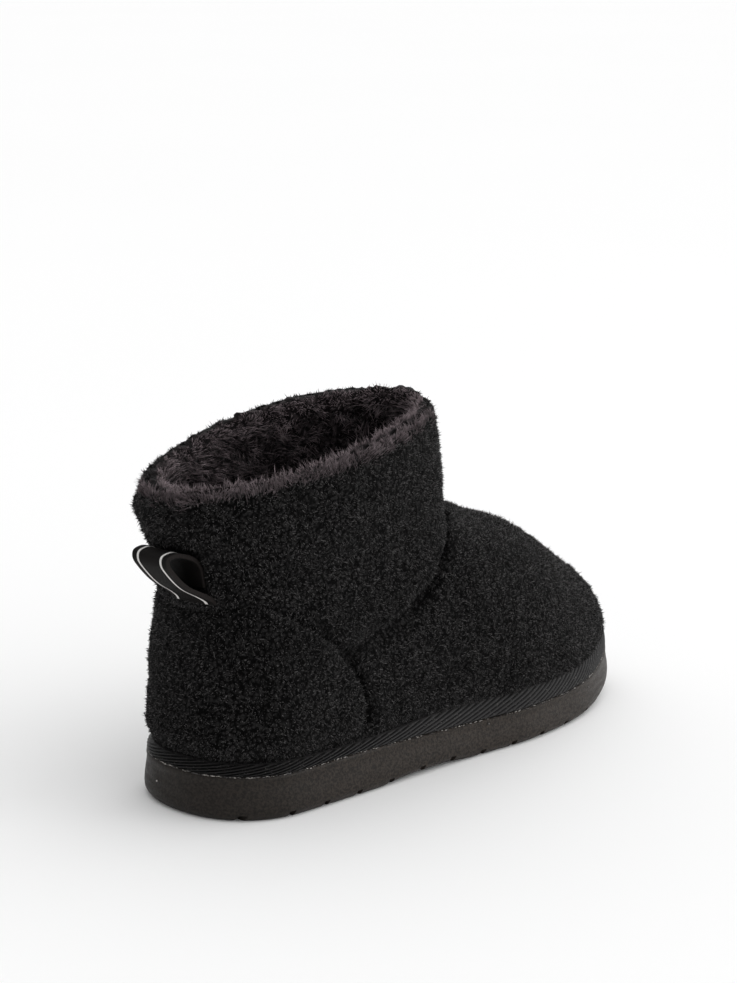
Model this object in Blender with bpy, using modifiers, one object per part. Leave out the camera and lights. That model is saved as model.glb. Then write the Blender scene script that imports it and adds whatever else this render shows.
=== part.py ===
"""Sherpa ankle boot for a right foot: fleece upper, ribbed band, foam sole and pull loop.

The toe points along +X, the outer side of the foot is -Y and the boot stands on z = 0.
All sizes are in metres. The boot is laid out from the heel end of its sole, at x = 0,
and an empty then carries it to the middle of its own box.
"""

import math

import bmesh
import bpy
import numpy as np
from mathutils import Vector
from mathutils.bvhtree import BVHTree

# Outsole
SOLE_LENGTH = 0.264
SOLE_WIDTH = 0.094
HEEL_THICKNESS = 0.0185
FORE_THICKNESS = 0.0152
TOE_SPRING = 0.008
TOE_SWING = 0.008
ARCH_RISE = 0.0015
FOOT_CHAMFER = 0.003
TOP_CHAMFER = 0.001
SOLE_FLARE = 0.0015
LUG_PITCH = 0.0185
GROOVE_WIDTH = 0.003
GROOVE_DEPTH = 0.0028

# Ribbed band round the foot of the upper
BAND_HEIGHT = 0.0075
BAND_SHOULDER = 0.0034
BAND_THICKNESS = 0.0035
BAND_LEAN = 0.0014
BAND_EDGE = 0.0012

# Upper
UPPER_WALL = 0.007
SHAFT_HEIGHT = 0.140
COLLAR_LENGTH = 0.1415
COLLAR_WIDTH = 0.089
RIM_ROUND = 0.0028
SEAM_WIDTH = 0.005
SEAM_DEPTH = 0.0015

# Footbed, and the room it leaves inside the upper's wall
INSOLE_THICKNESS = 0.005
INSOLE_FIT = 0.0006

# Pull loop
LOOP_WIDTH = 0.020
LOOP_THICKNESS = 0.0016
LOOP_REACH = 0.0135
LOOP_RISE = 0.022
LOOP_SEAT = 0.0705
LOOP_ASIDE = 0.003

# Space between neighbouring pieces, points along one side of an outline, and finish
GAP = 0.0003
SIDE_STEPS = 30
WELD = 0.00001
CRISP_ANGLE = math.radians(50)

# Half-widths of the sole along its length, as shares of SOLE_WIDTH.
OUTLINE = (
    # along, outer, inner
    (0.00, 0.40, 0.40),
    (0.16, 0.435, 0.425),
    (0.33, 0.44, 0.40),
    (0.50, 0.445, 0.40),
    (0.66, 0.475, 0.46),
    (0.80, 0.470, 0.48),
    (1.00, 0.39, 0.42),
)
HEEL_ROUND = 0.13
TOE_ROUND_OUTER = 0.40
TOE_ROUND_INNER = 0.24
ROUND_POWER = 2.25

# The lie of the sole: where its flat spots end and its toe leaves the floor, along the length.
ARCH_FROM, ARCH_TO = 0.30, 0.52
SPRING_FROM = 0.74
HEEL_TO, FORE_FROM = 0.22, 0.62

# Rings of the upper above the band. Rear and front are shares of SOLE_LENGTH, heights are
# shares of SHAFT_HEIGHT above the sole, outer and inner scale the half-widths, and oval is
# how far the ring has turned from the foot's outline into the collar's oval.
UPPER_RINGS = (
    # rear, front, rear z, front z, outer, inner, oval
    (0.010, 0.986, 0.085, 0.060, 1.06, 1.06, 0.00),
    (0.009, 0.966, 0.185, 0.140, 1.08, 1.07, 0.00),
    (0.011, 0.933, 0.280, 0.235, 1.07, 1.05, 0.02),
    (0.014, 0.885, 0.355, 0.325, 1.04, 1.02, 0.06),
    (0.020, 0.843, 0.415, 0.390, 1.00, 0.98, 0.12),
    (0.025, 0.788, 0.475, 0.458, 0.96, 0.94, 0.22),
    (0.026, 0.727, 0.520, 0.520, 0.93, 0.92, 0.36),
    (0.020, 0.645, 0.585, 0.585, 0.93, 0.92, 0.60),
    (0.010, 0.570, 0.645, 0.652, 0.95, 0.95, 0.88),
    (0.000, 0.543, 0.695, 0.715, 0.97, 0.97, 1.00),
    (-0.012, 0.533, 0.745, 0.830, 0.99, 0.99, 1.00),
    (-0.021, 0.515, 0.805, 1.000, 1.00, 1.00, 1.00),
)
RINGS_BETWEEN = 2

# Seam lines from the back, or from the throat, down one side: shares of SOLE_LENGTH from the
# heel, of SOLE_WIDTH from the middle and of SHAFT_HEIGHT above the sole. Each point is then
# moved to the nearest place on the upper.
COUNTER_SEAM = (
    # along, across, height
    (0.012, 0.000, 0.470),
    (0.043, 0.150, 0.475),
    (0.077, 0.270, 0.485),
    (0.120, 0.325, 0.470),
    (0.165, 0.353, 0.414),
    (0.215, 0.377, 0.338),
    (0.253, 0.388, 0.250),
    (0.274, 0.394, 0.160),
    (0.278, 0.400, 0.060),
)
VAMP_SEAM = (
    # along, across, height
    (0.562, 0.000, 0.672),
    (0.558, 0.080, 0.672),
    (0.540, 0.165, 0.675),
    (0.502, 0.267, 0.672),
    (0.470, 0.360, 0.600),
    (0.452, 0.377, 0.525),
    (0.430, 0.352, 0.450),
    (0.390, 0.370, 0.400),
    (0.344, 0.395, 0.363),
    (0.282, 0.402, 0.326),
    (0.240, 0.385, 0.305),
)
SEAM_POINTS = 20

# The pull loop's fold, from its seat in the seam out and back to the heel, in shares of its
# reach and rise.
LOOP_FOLD = (
    # out, up
    (0.00, 0.00),
    (0.05, 0.07),
    (0.24, 0.19),
    (0.62, 0.38),
    (0.86, 0.61),
    (1.00, 0.85),
    (0.90, 0.99),
    (0.62, 1.03),
    (0.30, 0.96),
    (0.08, 0.82),
    (0.00, 0.64),
    (0.00, 0.46),
    (0.00, 0.30),
)
LOOP_STEPS = 30
LOOP_ACROSS = 4


def smooth(knots, values, where):
    """Read a monotone cubic curve through (knots, values) at each place in where."""
    knots, values, where = (np.asarray(a, float) for a in (knots, values, where))
    flat = (-1,) + (1,) * (values.ndim - 1)
    step = np.diff(knots).reshape(flat)
    slope = np.diff(values, axis=0) / step
    before, after = slope[:-1], slope[1:]
    near, far = 2 * step[1:] + step[:-1], step[1:] + 2 * step[:-1]
    turning = before * after <= 0
    safe_before = np.where(turning, 1.0, before)
    safe_after = np.where(turning, 1.0, after)
    middle = (near + far) / (near / safe_before + far / safe_after)
    tangent = np.concatenate([slope[:1], np.where(turning, 0.0, middle), slope[-1:]])
    cell = np.clip(np.searchsorted(knots, where, side="right") - 1, 0, len(knots) - 2)
    t = ((where - knots[cell]) / np.diff(knots)[cell]).reshape(flat)
    start, end = values[cell], values[cell + 1]
    leave, arrive = tangent[cell] * step[cell], tangent[cell + 1] * step[cell]
    held = start * (1 + 2 * t) * (1 - t) ** 2 + end * t**2 * (3 - 2 * t)
    return held + leave * t * (1 - t) ** 2 - arrive * t**2 * (1 - t)


def ramp(value, low, high):
    """Rise from 0 to 1 between low and high with level ends."""
    t = np.clip((value - low) / (high - low), 0, 1)
    return t * t * (3 - 2 * t)


def rounding(share, heel, toe):
    """The share of the full half-width left by the round heel and toe ends."""
    into_heel = np.clip((heel - share) / heel, 0, 1)
    into_toe = np.clip((share - (1 - toe)) / toe, 0, 1)
    into = np.maximum(into_heel, into_toe)
    return (1 - into**ROUND_POWER) ** (1 / ROUND_POWER)


def outline(inset):
    """The sole's edge from above, moved in by inset: heel, outer side, toe, inner side."""
    share = (1 - np.cos(np.linspace(0, math.pi, SIDE_STEPS + 1))) / 2
    along, outer, inner = (np.array(column) for column in zip(*OUTLINE))
    centre = TOE_SWING * share**2
    outer_width = smooth(along, outer, share) * rounding(share, HEEL_ROUND, TOE_ROUND_OUTER)
    inner_width = smooth(along, inner, share) * rounding(share, HEEL_ROUND, TOE_ROUND_INNER)
    outer_y = centre - SOLE_WIDTH * outer_width
    inner_y = centre + SOLE_WIDTH * inner_width
    x = np.concatenate([share, share[-2:0:-1]]) * SOLE_LENGTH
    y = np.concatenate([outer_y, inner_y[-2:0:-1]])
    points = np.stack([x, y], 1)
    tangent = np.roll(points, -1, 0) - np.roll(points, 1, 0)
    normal = np.stack([tangent[:, 1], -tangent[:, 0]], 1)
    return points - inset * normal / np.linalg.norm(normal, axis=1, keepdims=True)


def tread(x):
    """Height of the sole's flat underside at x, without the arch."""
    past = np.clip((x / SOLE_LENGTH - SPRING_FROM) / (1 - SPRING_FROM), 0, 1)
    return TOE_SPRING * past**2


def underside(x):
    """Height of the sole's underside at x."""
    share = x / SOLE_LENGTH
    third = (ARCH_TO - ARCH_FROM) / 3
    arch = ramp(share, ARCH_FROM, ARCH_FROM + third) - ramp(share, ARCH_TO - third, ARCH_TO)
    return tread(x) + ARCH_RISE * arch


def sole_top(x):
    """Height of the sole's upper face at x."""
    thinned = ramp(x / SOLE_LENGTH, HEEL_TO, FORE_FROM)
    return tread(x) + HEEL_THICKNESS + (FORE_THICKNESS - HEEL_THICKNESS) * thinned


def raised(flat, height):
    """Give each (x, y) of a flat ring its height."""
    return np.column_stack([flat, height])


def ring_faces(low, high):
    """Faces between two rings of as many points, outward for rings that rise."""
    count = len(low)
    return [(low[i], low[(i + 1) % count], high[(i + 1) % count], high[i]) for i in range(count)]


def cap_faces(ring):
    """Faces across one ring, from each outer point to the inner point beside it."""
    last = len(ring)
    faces = [(ring[0], ring[1], ring[last - 1])]
    faces += [(ring[i], ring[i + 1], ring[last - i - 1], ring[last - i]) for i in range(1, last // 2 - 1)]
    middle = last // 2
    return faces + [(ring[middle - 1], ring[middle], ring[middle + 1])]


def mesh_object(name, work, collection):
    """Put a finished bmesh in a new object of its own."""
    mesh = bpy.data.meshes.new(name)
    work.to_mesh(mesh)
    work.free()
    item = bpy.data.objects.new(name, mesh)
    collection.objects.link(item)
    return item


def loft(rings, capped=False, closed=False):
    """A bmesh through rings of as many points, capped at both ends, or closed on itself."""
    work = bmesh.new()
    rows = [[work.verts.new(point) for point in ring] for ring in rings]
    faces = [face for low, high in zip(rows, rows[1:]) for face in ring_faces(low, high)]
    if closed:
        faces += ring_faces(rows[-1], rows[0])
    if capped:
        faces += [tuple(reversed(face)) for face in cap_faces(rows[0])]
        faces += cap_faces(rows[-1])
    for face in faces:
        work.faces.new(face)
    if capped or closed:
        bmesh.ops.recalc_face_normals(work, faces=work.faces)
    return work


def finish(item, look):
    """Give a piece its material and smooth shading with crisp edges."""
    item.data.materials.clear()
    item.data.materials.append(look)
    item.data.shade_smooth()
    item.data.set_sharp_from_angle(angle=CRISP_ANGLE)


def material(name, colour, roughness):
    """A plain material of one colour."""
    made = bpy.data.materials.new(name)
    made.use_nodes = True
    shader = made.node_tree.nodes["Principled BSDF"]
    shader.inputs["Base Color"].default_value = (*colour, 1)
    shader.inputs["Roughness"].default_value = roughness
    shader.inputs["Metallic"].default_value = 0
    return made


def cut(item, cutter):
    """Take the cutter away from the piece."""
    cutter.hide_render = True
    cutter.display_type = "WIRE"
    tool = item.modifiers.new("cut_" + cutter.name, "BOOLEAN")
    tool.operation = "DIFFERENCE"
    tool.solver = "EXACT"
    tool.object = cutter


def tube_mesh(name, points, radius, collection):
    """A closed tube through points, as a mesh that can cut."""
    curve = bpy.data.curves.new(name, "CURVE")
    curve.dimensions = "3D"
    curve.bevel_depth = radius
    curve.bevel_resolution = 2
    curve.use_fill_caps = True
    spline = curve.splines.new("POLY")
    spline.points.add(len(points) - 1)
    for place, point in zip(spline.points, points):
        place.co = (*point, 1)
    drawn = bpy.data.objects.new(name + "_path", curve)
    collection.objects.link(drawn)
    shape = drawn.evaluated_get(bpy.context.evaluated_depsgraph_get())
    mesh = bpy.data.meshes.new_from_object(shape)
    work = bmesh.new()
    work.from_mesh(mesh)
    bmesh.ops.remove_doubles(work, verts=work.verts, dist=WELD)
    bpy.data.objects.remove(drawn)
    bpy.data.meshes.remove(mesh)
    return mesh_object(name, work, collection)


def groove_cutter(collection):
    """Bars across the sole that leave its lugs."""
    work = bmesh.new()
    count = int(SOLE_LENGTH / LUG_PITCH)
    first = (SOLE_LENGTH - (count - 1) * LUG_PITCH) / 2
    for index in range(count):
        x = first + index * LUG_PITCH
        top = float(underside(x)) + GROOVE_DEPTH
        bar = bmesh.ops.create_cube(work, size=1)["verts"]
        bmesh.ops.scale(work, vec=(GROOVE_WIDTH, 2 * SOLE_WIDTH, 2 * top), verts=bar)
        bmesh.ops.translate(work, vec=(x, 0, 0), verts=bar)
    return mesh_object("groove_cutter", work, collection)


def build_outsole(pieces, cutters):
    """The foam sole: chamfered foot edge, flared side, curved top and cross grooves."""
    foot = outline(FOOT_CHAMFER)
    widest = outline(0)
    side = outline(SOLE_FLARE)
    brim = outline(SOLE_FLARE + TOP_CHAMFER)
    rings = [
        raised(foot, underside(foot[:, 0])),
        raised(widest, underside(widest[:, 0]) + FOOT_CHAMFER),
        raised(side, sole_top(side[:, 0]) - TOP_CHAMFER),
        raised(brim, sole_top(brim[:, 0])),
    ]
    sole = mesh_object("outsole", loft(rings, capped=True), pieces)
    cut(sole, groove_cutter(cutters))
    finish(sole, material("foam_rubber", (0.028, 0.024, 0.022), 0.55))
    return sole


def build_band(pieces):
    """The slanted band, upright inside against the upper."""
    inside = outline(BAND_EDGE + BAND_THICKNESS)
    foot = outline(BAND_EDGE)
    brow = outline(BAND_EDGE + BAND_LEAN)
    floor = sole_top(foot[:, 0]) + GAP
    rings = [
        raised(inside, sole_top(inside[:, 0]) + GAP),
        raised(foot, floor),
        raised(foot, floor + BAND_SHOULDER),
        raised(brow, sole_top(brow[:, 0]) + BAND_HEIGHT),
        raised(inside, sole_top(inside[:, 0]) + BAND_HEIGHT),
    ]
    band = mesh_object("welt_band", loft(rings, closed=True), pieces)
    finish(band, material("ribbed_rubber", (0.018, 0.018, 0.019), 0.6))
    return band


def upper_sections():
    """The rings that the upper's outer face runs through, from the sole to the collar."""
    seat = outline(BAND_EDGE + BAND_THICKNESS + GAP)
    ground = sole_top(seat[:, 0])
    sections = [raised(seat, ground + GAP), raised(seat, ground + BAND_HEIGHT + GAP)]
    heel, toe = seat[:, 0].min(), seat[:, 0].max()
    foot_x = (seat[:, 0] - heel) / (toe - heel)
    turn = np.linspace(0, 2 * math.pi, len(seat), endpoint=False)
    oval_x, oval_y = (1 - np.cos(turn)) / 2, -np.sin(turn) * COLLAR_WIDTH / 2
    rim_rear, rim_front = UPPER_RINGS[-1][:2]
    for rear, front, rear_z, front_z, outer, inner, oval in UPPER_RINGS:
        side = np.where(turn < math.pi, outer, inner)
        share = foot_x + (oval_x - foot_x) * oval
        y = side * (seat[:, 1] + (oval_y - seat[:, 1]) * oval)
        back = rear * SOLE_LENGTH
        reach = front * SOLE_LENGTH - back
        shaft = (front - rear) / (rim_front - rim_rear) * COLLAR_LENGTH
        x = back + share * (reach + (shaft - reach) * oval)
        height = SHAFT_HEIGHT * (rear_z + (front_z - rear_z) * share)
        sections.append(np.stack([x, y, sole_top(x) + height], 1))
    return sections


def upper_rings():
    """The closely spaced rings of the upper's outer face."""
    sections = np.array(upper_sections())
    steps = np.linalg.norm(np.diff(sections, axis=0), axis=2).mean(1)
    knots = np.concatenate([[0], np.cumsum(steps)])
    between = [np.linspace(a, b, RINGS_BETWEEN, endpoint=False) for a, b in zip(knots[1:], knots[2:])]
    where = np.concatenate([knots[:1], *between, knots[-1:]])
    return smooth(knots, sections, where)


def seam_points(surface, rows, turned):
    """Points on the upper along one seam, and the outward direction at each."""
    order = np.linspace(0, len(rows) - 1, SEAM_POINTS)
    places = smooth(range(len(rows)), rows, order)
    found = []
    for along, across, height in places:
        x = along * SOLE_LENGTH
        y = turned * across * SOLE_WIDTH
        near, normal, _, _ = surface.find_nearest((x, y, float(sole_top(x)) + height * SHAFT_HEIGHT))
        found.append((near, normal))
    return found


def build_upper(pieces, cutters):
    """The hollow fleece upper with its seam troughs."""
    rings = upper_rings()
    shell = loft(rings)
    surface = BVHTree.FromBMesh(shell)
    rounded = shell.edges.layers.float.new("bevel_weight_edge")
    shell.verts.ensure_lookup_table()
    top = set(shell.verts[-len(rings[-1]):])
    for edge in shell.edges:
        edge[rounded] = float(top.issuperset(edge.verts))
    upper = mesh_object("upper", shell, pieces)
    wall = upper.modifiers.new("wall", "SOLIDIFY")
    wall.thickness = UPPER_WALL
    wall.offset = -1
    wall.use_even_offset = True
    rim = upper.modifiers.new("rim", "BEVEL")
    rim.width = RIM_ROUND
    rim.segments = 2
    rim.limit_method = "WEIGHT"
    lift = SEAM_WIDTH / 2 - SEAM_DEPTH
    for name, rows in (("counter_seam", COUNTER_SEAM), ("vamp_seam", VAMP_SEAM)):
        outer_side = seam_points(surface, rows, -1)
        inner_side = seam_points(surface, rows, 1)
        path = [place + normal * lift for place, normal in outer_side[::-1] + inner_side[1:]]
        cut(upper, tube_mesh(name, path, SEAM_WIDTH / 2, cutters))
    finish(upper, material("black_fleece", (0.008, 0.0075, 0.0075), 0.95))
    return upper, surface


def build_insole(pieces):
    """The footbed, inside the upper's wall."""
    edge = outline(BAND_EDGE + BAND_THICKNESS + GAP + UPPER_WALL + INSOLE_FIT)
    ground = sole_top(edge[:, 0]) + GAP
    rings = [raised(edge, ground), raised(edge, ground + INSOLE_THICKNESS)]
    insole = mesh_object("insole", loft(rings, capped=True), pieces)
    finish(insole, material("dark_pile", (0.03, 0.026, 0.028), 0.95))
    return insole


def build_loop(pieces, surface):
    """The folded tape at the back, both ends seated on the heel."""
    out, up = (np.array(column, float) for column in zip(*LOOP_FOLD))
    order = np.linspace(0, len(LOOP_FOLD) - 1, LOOP_STEPS)
    out = smooth(range(len(LOOP_FOLD)), out, order)
    up = smooth(range(len(LOOP_FOLD)), up, order)
    seat_z = float(sole_top(0)) + LOOP_SEAT
    clear = GAP + LOOP_THICKNESS / 2

    def heel_x(y, z):
        place, _, _, _ = surface.ray_cast(Vector((-SOLE_LENGTH, y, z)), Vector((1, 0, 0)))
        return place.x

    work = bmesh.new()
    rows = []
    for share_out, share_up in zip(out, up):
        z = seat_z + LOOP_RISE * share_up
        middle = heel_x(-LOOP_ASIDE, z)
        row = []
        for y in np.linspace(-LOOP_WIDTH / 2, LOOP_WIDTH / 2, LOOP_ACROSS + 1) - LOOP_ASIDE:
            curl = (heel_x(y, z) - middle) * (1 - share_out) ** 2
            row.append(work.verts.new((middle + curl - clear - LOOP_REACH * share_out, y, z)))
        rows.append(row)
    for low, high in zip(rows, rows[1:]):
        for i in range(LOOP_ACROSS):
            work.faces.new((low[i], low[i + 1], high[i + 1], high[i]))
    loop = mesh_object("pull_loop", work, pieces)
    tape = loop.modifiers.new("tape", "SOLIDIFY")
    tape.thickness = LOOP_THICKNESS
    tape.offset = 0
    tape.use_even_offset = True
    finish(loop, material("woven_tape", (0.02, 0.017, 0.017), 0.7))
    return loop


def stand(pieces):
    """Carry the pieces to the middle of their common box."""
    bpy.context.view_layer.update()
    graph = bpy.context.evaluated_depsgraph_get()
    points = []
    for piece in pieces:
        mesh = piece.evaluated_get(graph).to_mesh()
        points += [vertex.co.copy() for vertex in mesh.vertices]
    low = [min(point[axis] for point in points) for axis in (0, 1)]
    high = [max(point[axis] for point in points) for axis in (0, 1)]
    base = bpy.data.objects.new("boot_base", None)
    bpy.context.scene.collection.objects.link(base)
    base.location = (-(low[0] + high[0]) / 2, -(low[1] + high[1]) / 2, 0)
    for piece in pieces:
        piece.parent = base
    for cutter in bpy.data.collections["cutters"].objects:
        cutter.parent = base


def main():
    """Build the whole boot."""
    for item in list(bpy.data.objects):
        bpy.data.objects.remove(item)
    pieces = bpy.data.collections.new("sherpa_boot")
    cutters = bpy.data.collections.new("cutters")
    bpy.context.scene.collection.children.link(pieces)
    bpy.context.scene.collection.children.link(cutters)
    outsole = build_outsole(pieces, cutters)
    band = build_band(pieces)
    upper, surface = build_upper(pieces, cutters)
    insole = build_insole(pieces)
    loop = build_loop(pieces, surface)
    stand([outsole, band, upper, insole, loop])


main()
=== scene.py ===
"""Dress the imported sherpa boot: fleece, pile lining, ribbed band, foam sole, woven loop and studio.

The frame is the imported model's: metres, +X to the toe, -Y the outer side, +Z up.
"""

import math

import bmesh
import bpy
import numpy as np
from bpy.props import FloatProperty, FloatVectorProperty, IntProperty, PointerProperty
from mathutils import Matrix, Vector, noise
from mathutils.bvhtree import BVHTree
from mathutils.kdtree import KDTree


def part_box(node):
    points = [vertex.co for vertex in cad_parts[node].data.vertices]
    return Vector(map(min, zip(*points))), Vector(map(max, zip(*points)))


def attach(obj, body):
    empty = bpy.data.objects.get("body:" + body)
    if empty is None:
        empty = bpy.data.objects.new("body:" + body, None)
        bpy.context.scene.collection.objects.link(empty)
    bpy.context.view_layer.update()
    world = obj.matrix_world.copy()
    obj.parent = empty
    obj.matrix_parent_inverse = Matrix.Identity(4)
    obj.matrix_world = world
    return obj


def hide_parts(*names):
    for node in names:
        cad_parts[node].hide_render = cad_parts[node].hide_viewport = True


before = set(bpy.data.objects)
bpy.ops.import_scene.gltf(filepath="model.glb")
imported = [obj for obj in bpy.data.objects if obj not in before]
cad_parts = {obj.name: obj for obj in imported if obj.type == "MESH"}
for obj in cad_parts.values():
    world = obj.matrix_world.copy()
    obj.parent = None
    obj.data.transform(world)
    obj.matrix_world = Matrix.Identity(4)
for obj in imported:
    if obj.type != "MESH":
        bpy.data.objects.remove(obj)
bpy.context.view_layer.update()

bl_info = {
    "name": "Sherpa Boot Dressing",
    "version": (1, 0, 0),
    "blender": (4, 5, 0),
    "location": "3D View > Sidebar > Sherpa Boot",
    "description": "Builds the fleece, lining, band, sole and loop of a sherpa boot round its CAD frame",
    "category": "Object",
}

WELD = 0.00001
GAP = 0.0003
SEED = 7
# The noise vectors start from the clock unless they are seeded.
noise.seed_set(SEED)

# The sole, as the CAD has it
SOLE_LENGTH = 0.264
SOLE_WIDTH = 0.094
HEEL_THICKNESS = 0.0185
FORE_THICKNESS = 0.0152
TOE_SPRING = 0.008
TOE_SWING = 0.008
ARCH_RISE = 0.0015
SOLE_FLARE = 0.0015
LUG_PITCH = 0.0185
GROOVE_WIDTH = 0.003
GROOVE_DEPTH = 0.0028
SHAFT_HEIGHT = 0.140
OUTLINE = (
    # along, outer, inner
    (0.00, 0.40, 0.40),
    (0.16, 0.435, 0.425),
    (0.33, 0.44, 0.40),
    (0.50, 0.445, 0.40),
    (0.66, 0.475, 0.46),
    (0.80, 0.470, 0.48),
    (1.00, 0.39, 0.42),
)
HEEL_ROUND = 0.13
TOE_ROUND_OUTER = 0.40
TOE_ROUND_INNER = 0.24
ROUND_POWER = 2.25
ARCH_FROM, ARCH_TO = 0.30, 0.52
SPRING_FROM = 0.74
HEEL_TO, FORE_FROM = 0.22, 0.62
HEEL_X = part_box("outsole")[0].x
MIDDLE_Y = -0.0027382

# Seam lines down one side, as shares of the sole's length, its width and the shaft's height.
COUNTER_SEAM = (
    # along, across, height
    (0.012, 0.000, 0.470),
    (0.043, 0.150, 0.475),
    (0.077, 0.270, 0.485),
    (0.120, 0.325, 0.470),
    (0.165, 0.353, 0.414),
    (0.215, 0.377, 0.338),
    (0.253, 0.388, 0.250),
    (0.274, 0.394, 0.160),
    (0.278, 0.400, 0.060),
)
VAMP_SEAM = (
    # along, across, height
    (0.562, 0.000, 0.672),
    (0.558, 0.080, 0.672),
    (0.540, 0.165, 0.675),
    (0.502, 0.267, 0.672),
    (0.470, 0.360, 0.600),
    (0.452, 0.377, 0.525),
    (0.430, 0.352, 0.450),
    (0.390, 0.370, 0.400),
    (0.344, 0.395, 0.363),
    (0.282, 0.402, 0.326),
    (0.240, 0.385, 0.305),
)
SEAM_STEPS = 160

# The middle line of the hollow inside: toe, ball, ankle, shaft.
HOLLOW_LINE = (
    # x, y, z
    (0.105, 0.004, 0.032),
    (0.030, 0.000, 0.044),
    (-0.035, -0.003, 0.060),
    (-0.052, -0.003, 0.100),
    (-0.052, -0.003, 0.220),
)
# The collar's rim at its back and at its front: x, z.
RIM_BACK = (-0.1305, 0.1312)
RIM_FRONT = (0.0100, 0.1552)

# Where the fleece lies fuller, or with a minus thinner, than its even pile. Each limit is an axis,
# where it starts and where it is in full force; "under" is the depth below the rim.
FULLNESS = (
    # amount, limits
    (-0.0024, ("x", -0.090, -0.122), ("z", 0.030, 0.050), ("z", 0.090, 0.072)),
    (0.0025, ("x", -0.090, -0.122), ("under", 0.002, 0.010), ("under", 0.036, 0.018)),
    (-0.0015, ("y", 0.000, 0.020), ("x", -0.035, -0.075), ("under", 0.008, 0.002)),
    (0.0009, ("y", -0.015, 0.010), ("x", -0.045, -0.015), ("under", 0.008, 0.002)),
    (0.0013, ("x", 0.105, 0.125), ("z", 0.024, 0.034)),
    (-0.0010, ("x", 0.075, 0.092), ("x", 0.125, 0.108), ("z", 0.030, 0.045)),
    (-0.0016, ("x", -0.010, 0.006), ("z", 0.088, 0.100)),
)

# Fleece: how far its seams pinch and swell it, its lumps along the rim, and its tufts.
COUNTER_PINCH = 0.0026
SWELL_FROM_SEAM, COUNTER_SWELL = 0.0070, 0.0045
VAMP_PINCH, VAMP_VALLEY = 0.0040, 0.0095
RIM_LUMP, RIM_LUMP_RISE = 0.0056, 0.0015
FLEECE_SUNK = -0.0040
INSIDE_KEPT = 0.72
TUFT_COMB, TUFT_TONE = 0.0034, 0.0017
TUFT_RADII = (0.00022, 0.00040)
TUFT_SUNK = 0.0004

# Lining: its clumps, and the hairs on it. The footbed's pile is shorter.
LINING_CLUMP, LINING_STRAND = 0.0062, 0.0026
LINING_SUNK = 0.0036
HAIR_COMB, HAIR_TONE = 0.0075, 0.0065
HAIR_RADII = (0.00010, 0.00020)
HAIR_SUNK = 0.0006
FOOTBED_GRID, FOOTBED_CLUMP = 0.0016, 0.0055
FOOTBED_PILE, FOOTBED_RELIEF = 0.0018, 0.0016

# Curls to a metre in the wool materials.
FLEECE_CURLS, PILE_CURLS = 620.0, 380.0

# Down the boot: how much of the band the fleece leaves free, and the ribs' spacing along and up it.
BAND_RUN = (
    # along, free, rib_along, rib_up
    (0.00, 0.62, 0.0068, 0.00115),
    (0.12, 0.54, 0.0068, 0.00110),
    (0.24, 0.46, 0.0060, 0.00115),
    (0.34, 0.62, 0.0057, 0.00130),
    (0.46, 1.00, 0.0056, 0.00170),
    (0.60, 1.08, 0.0052, 0.00185),
    (0.80, 1.05, 0.0038, 0.00200),
    (1.00, 1.00, 0.0030, 0.00210),
)

# Cross-section of the band, as shares of its thickness and height, from inside up and over.
BAND_PROFILE = (
    # out, up, ribbed
    (-0.60, 0.00, 0.0),
    (0.60, 0.00, 0.0),
    (0.90, 0.03, 0.2),
    (1.00, 0.10, 0.8),
    (1.01, 0.20, 1.0),
    (1.00, 0.30, 1.0),
    (0.98, 0.40, 1.0),
    (0.95, 0.50, 1.0),
    (0.91, 0.60, 1.0),
    (0.86, 0.70, 1.0),
    (0.79, 0.80, 1.0),
    (0.70, 0.89, 0.9),
    (0.55, 0.96, 0.5),
    (0.30, 1.00, 0.0),
    (-0.60, 1.00, 0.0),
)
BAND_ROWS, BAND_STEPS = 44, 620
BAND_SEAT = 0.0012
RIB_SHARPNESS = 0.7
RIB_SWAY, SWAY_LENGTH = 0.30, 0.030

# Glue: steps round the sole's edge, the beads' sizes, and how far they stray up and down.
GLUE_STEPS = 2000
BEAD_SIZES, BEAD_STRETCH = (0.00010, 0.00030), (1.0, 4.0)
BEAD_STRAY = 0.00012
# Stray specks of glue on the sole's side: x, y, and how far under its top edge.
GLUE_SPECKS = ((-0.131, 0.009, 0.0084), (0.018, -0.046, 0.0018), (0.092, -0.040, 0.0030))
SPECK_RADIUS = 0.0005

# Cross-section of the sole: how far in from its widest edge and how far up its side.
SOLE_PROFILE = (
    # in, up
    (0.0034, 0.000),
    (0.0026, 0.010),
    (0.0016, 0.050),
    (0.0007, 0.110),
    (0.0001, 0.180),
    (0.0000, 0.300),
    (0.0002, 0.450),
    (0.0006, 0.600),
    (0.0010, 0.750),
    (0.0012, 0.860),
    (0.0010, 0.930),
    (0.0011, 0.965),
    (0.0016, 0.990),
    (0.0026, 1.000),
)

# The loop's fold, from its seat out and back, as shares of its reach and rise.
LOOP_FOLD = (
    # out, up
    (0.00, 0.00),
    (0.05, 0.07),
    (0.24, 0.19),
    (0.62, 0.38),
    (0.86, 0.61),
    (1.00, 0.85),
    (0.90, 0.99),
    (0.62, 1.03),
    (0.30, 0.96),
    (0.08, 0.82),
    (0.00, 0.64),
    (0.00, 0.46),
    (0.00, 0.30),
)
LOOP_WIDTH = 0.021
LOOP_THICKNESS = 0.0018
LOOP_REACH = 0.0135
LOOP_RISE = 0.021
LOOP_SEAT = 0.0700
LOOP_ASIDE = 0.003
# How far the lower leg leans to the outer side, and the row of the fold where it is upright.
LOOP_SLANT, SLANT_TO = 0.0045, 6
LOOP_STEPS, LOOP_ACROSS = 90, 20
WARP_PITCH, WEFT_PITCH = 0.0009, 0.0007

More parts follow.
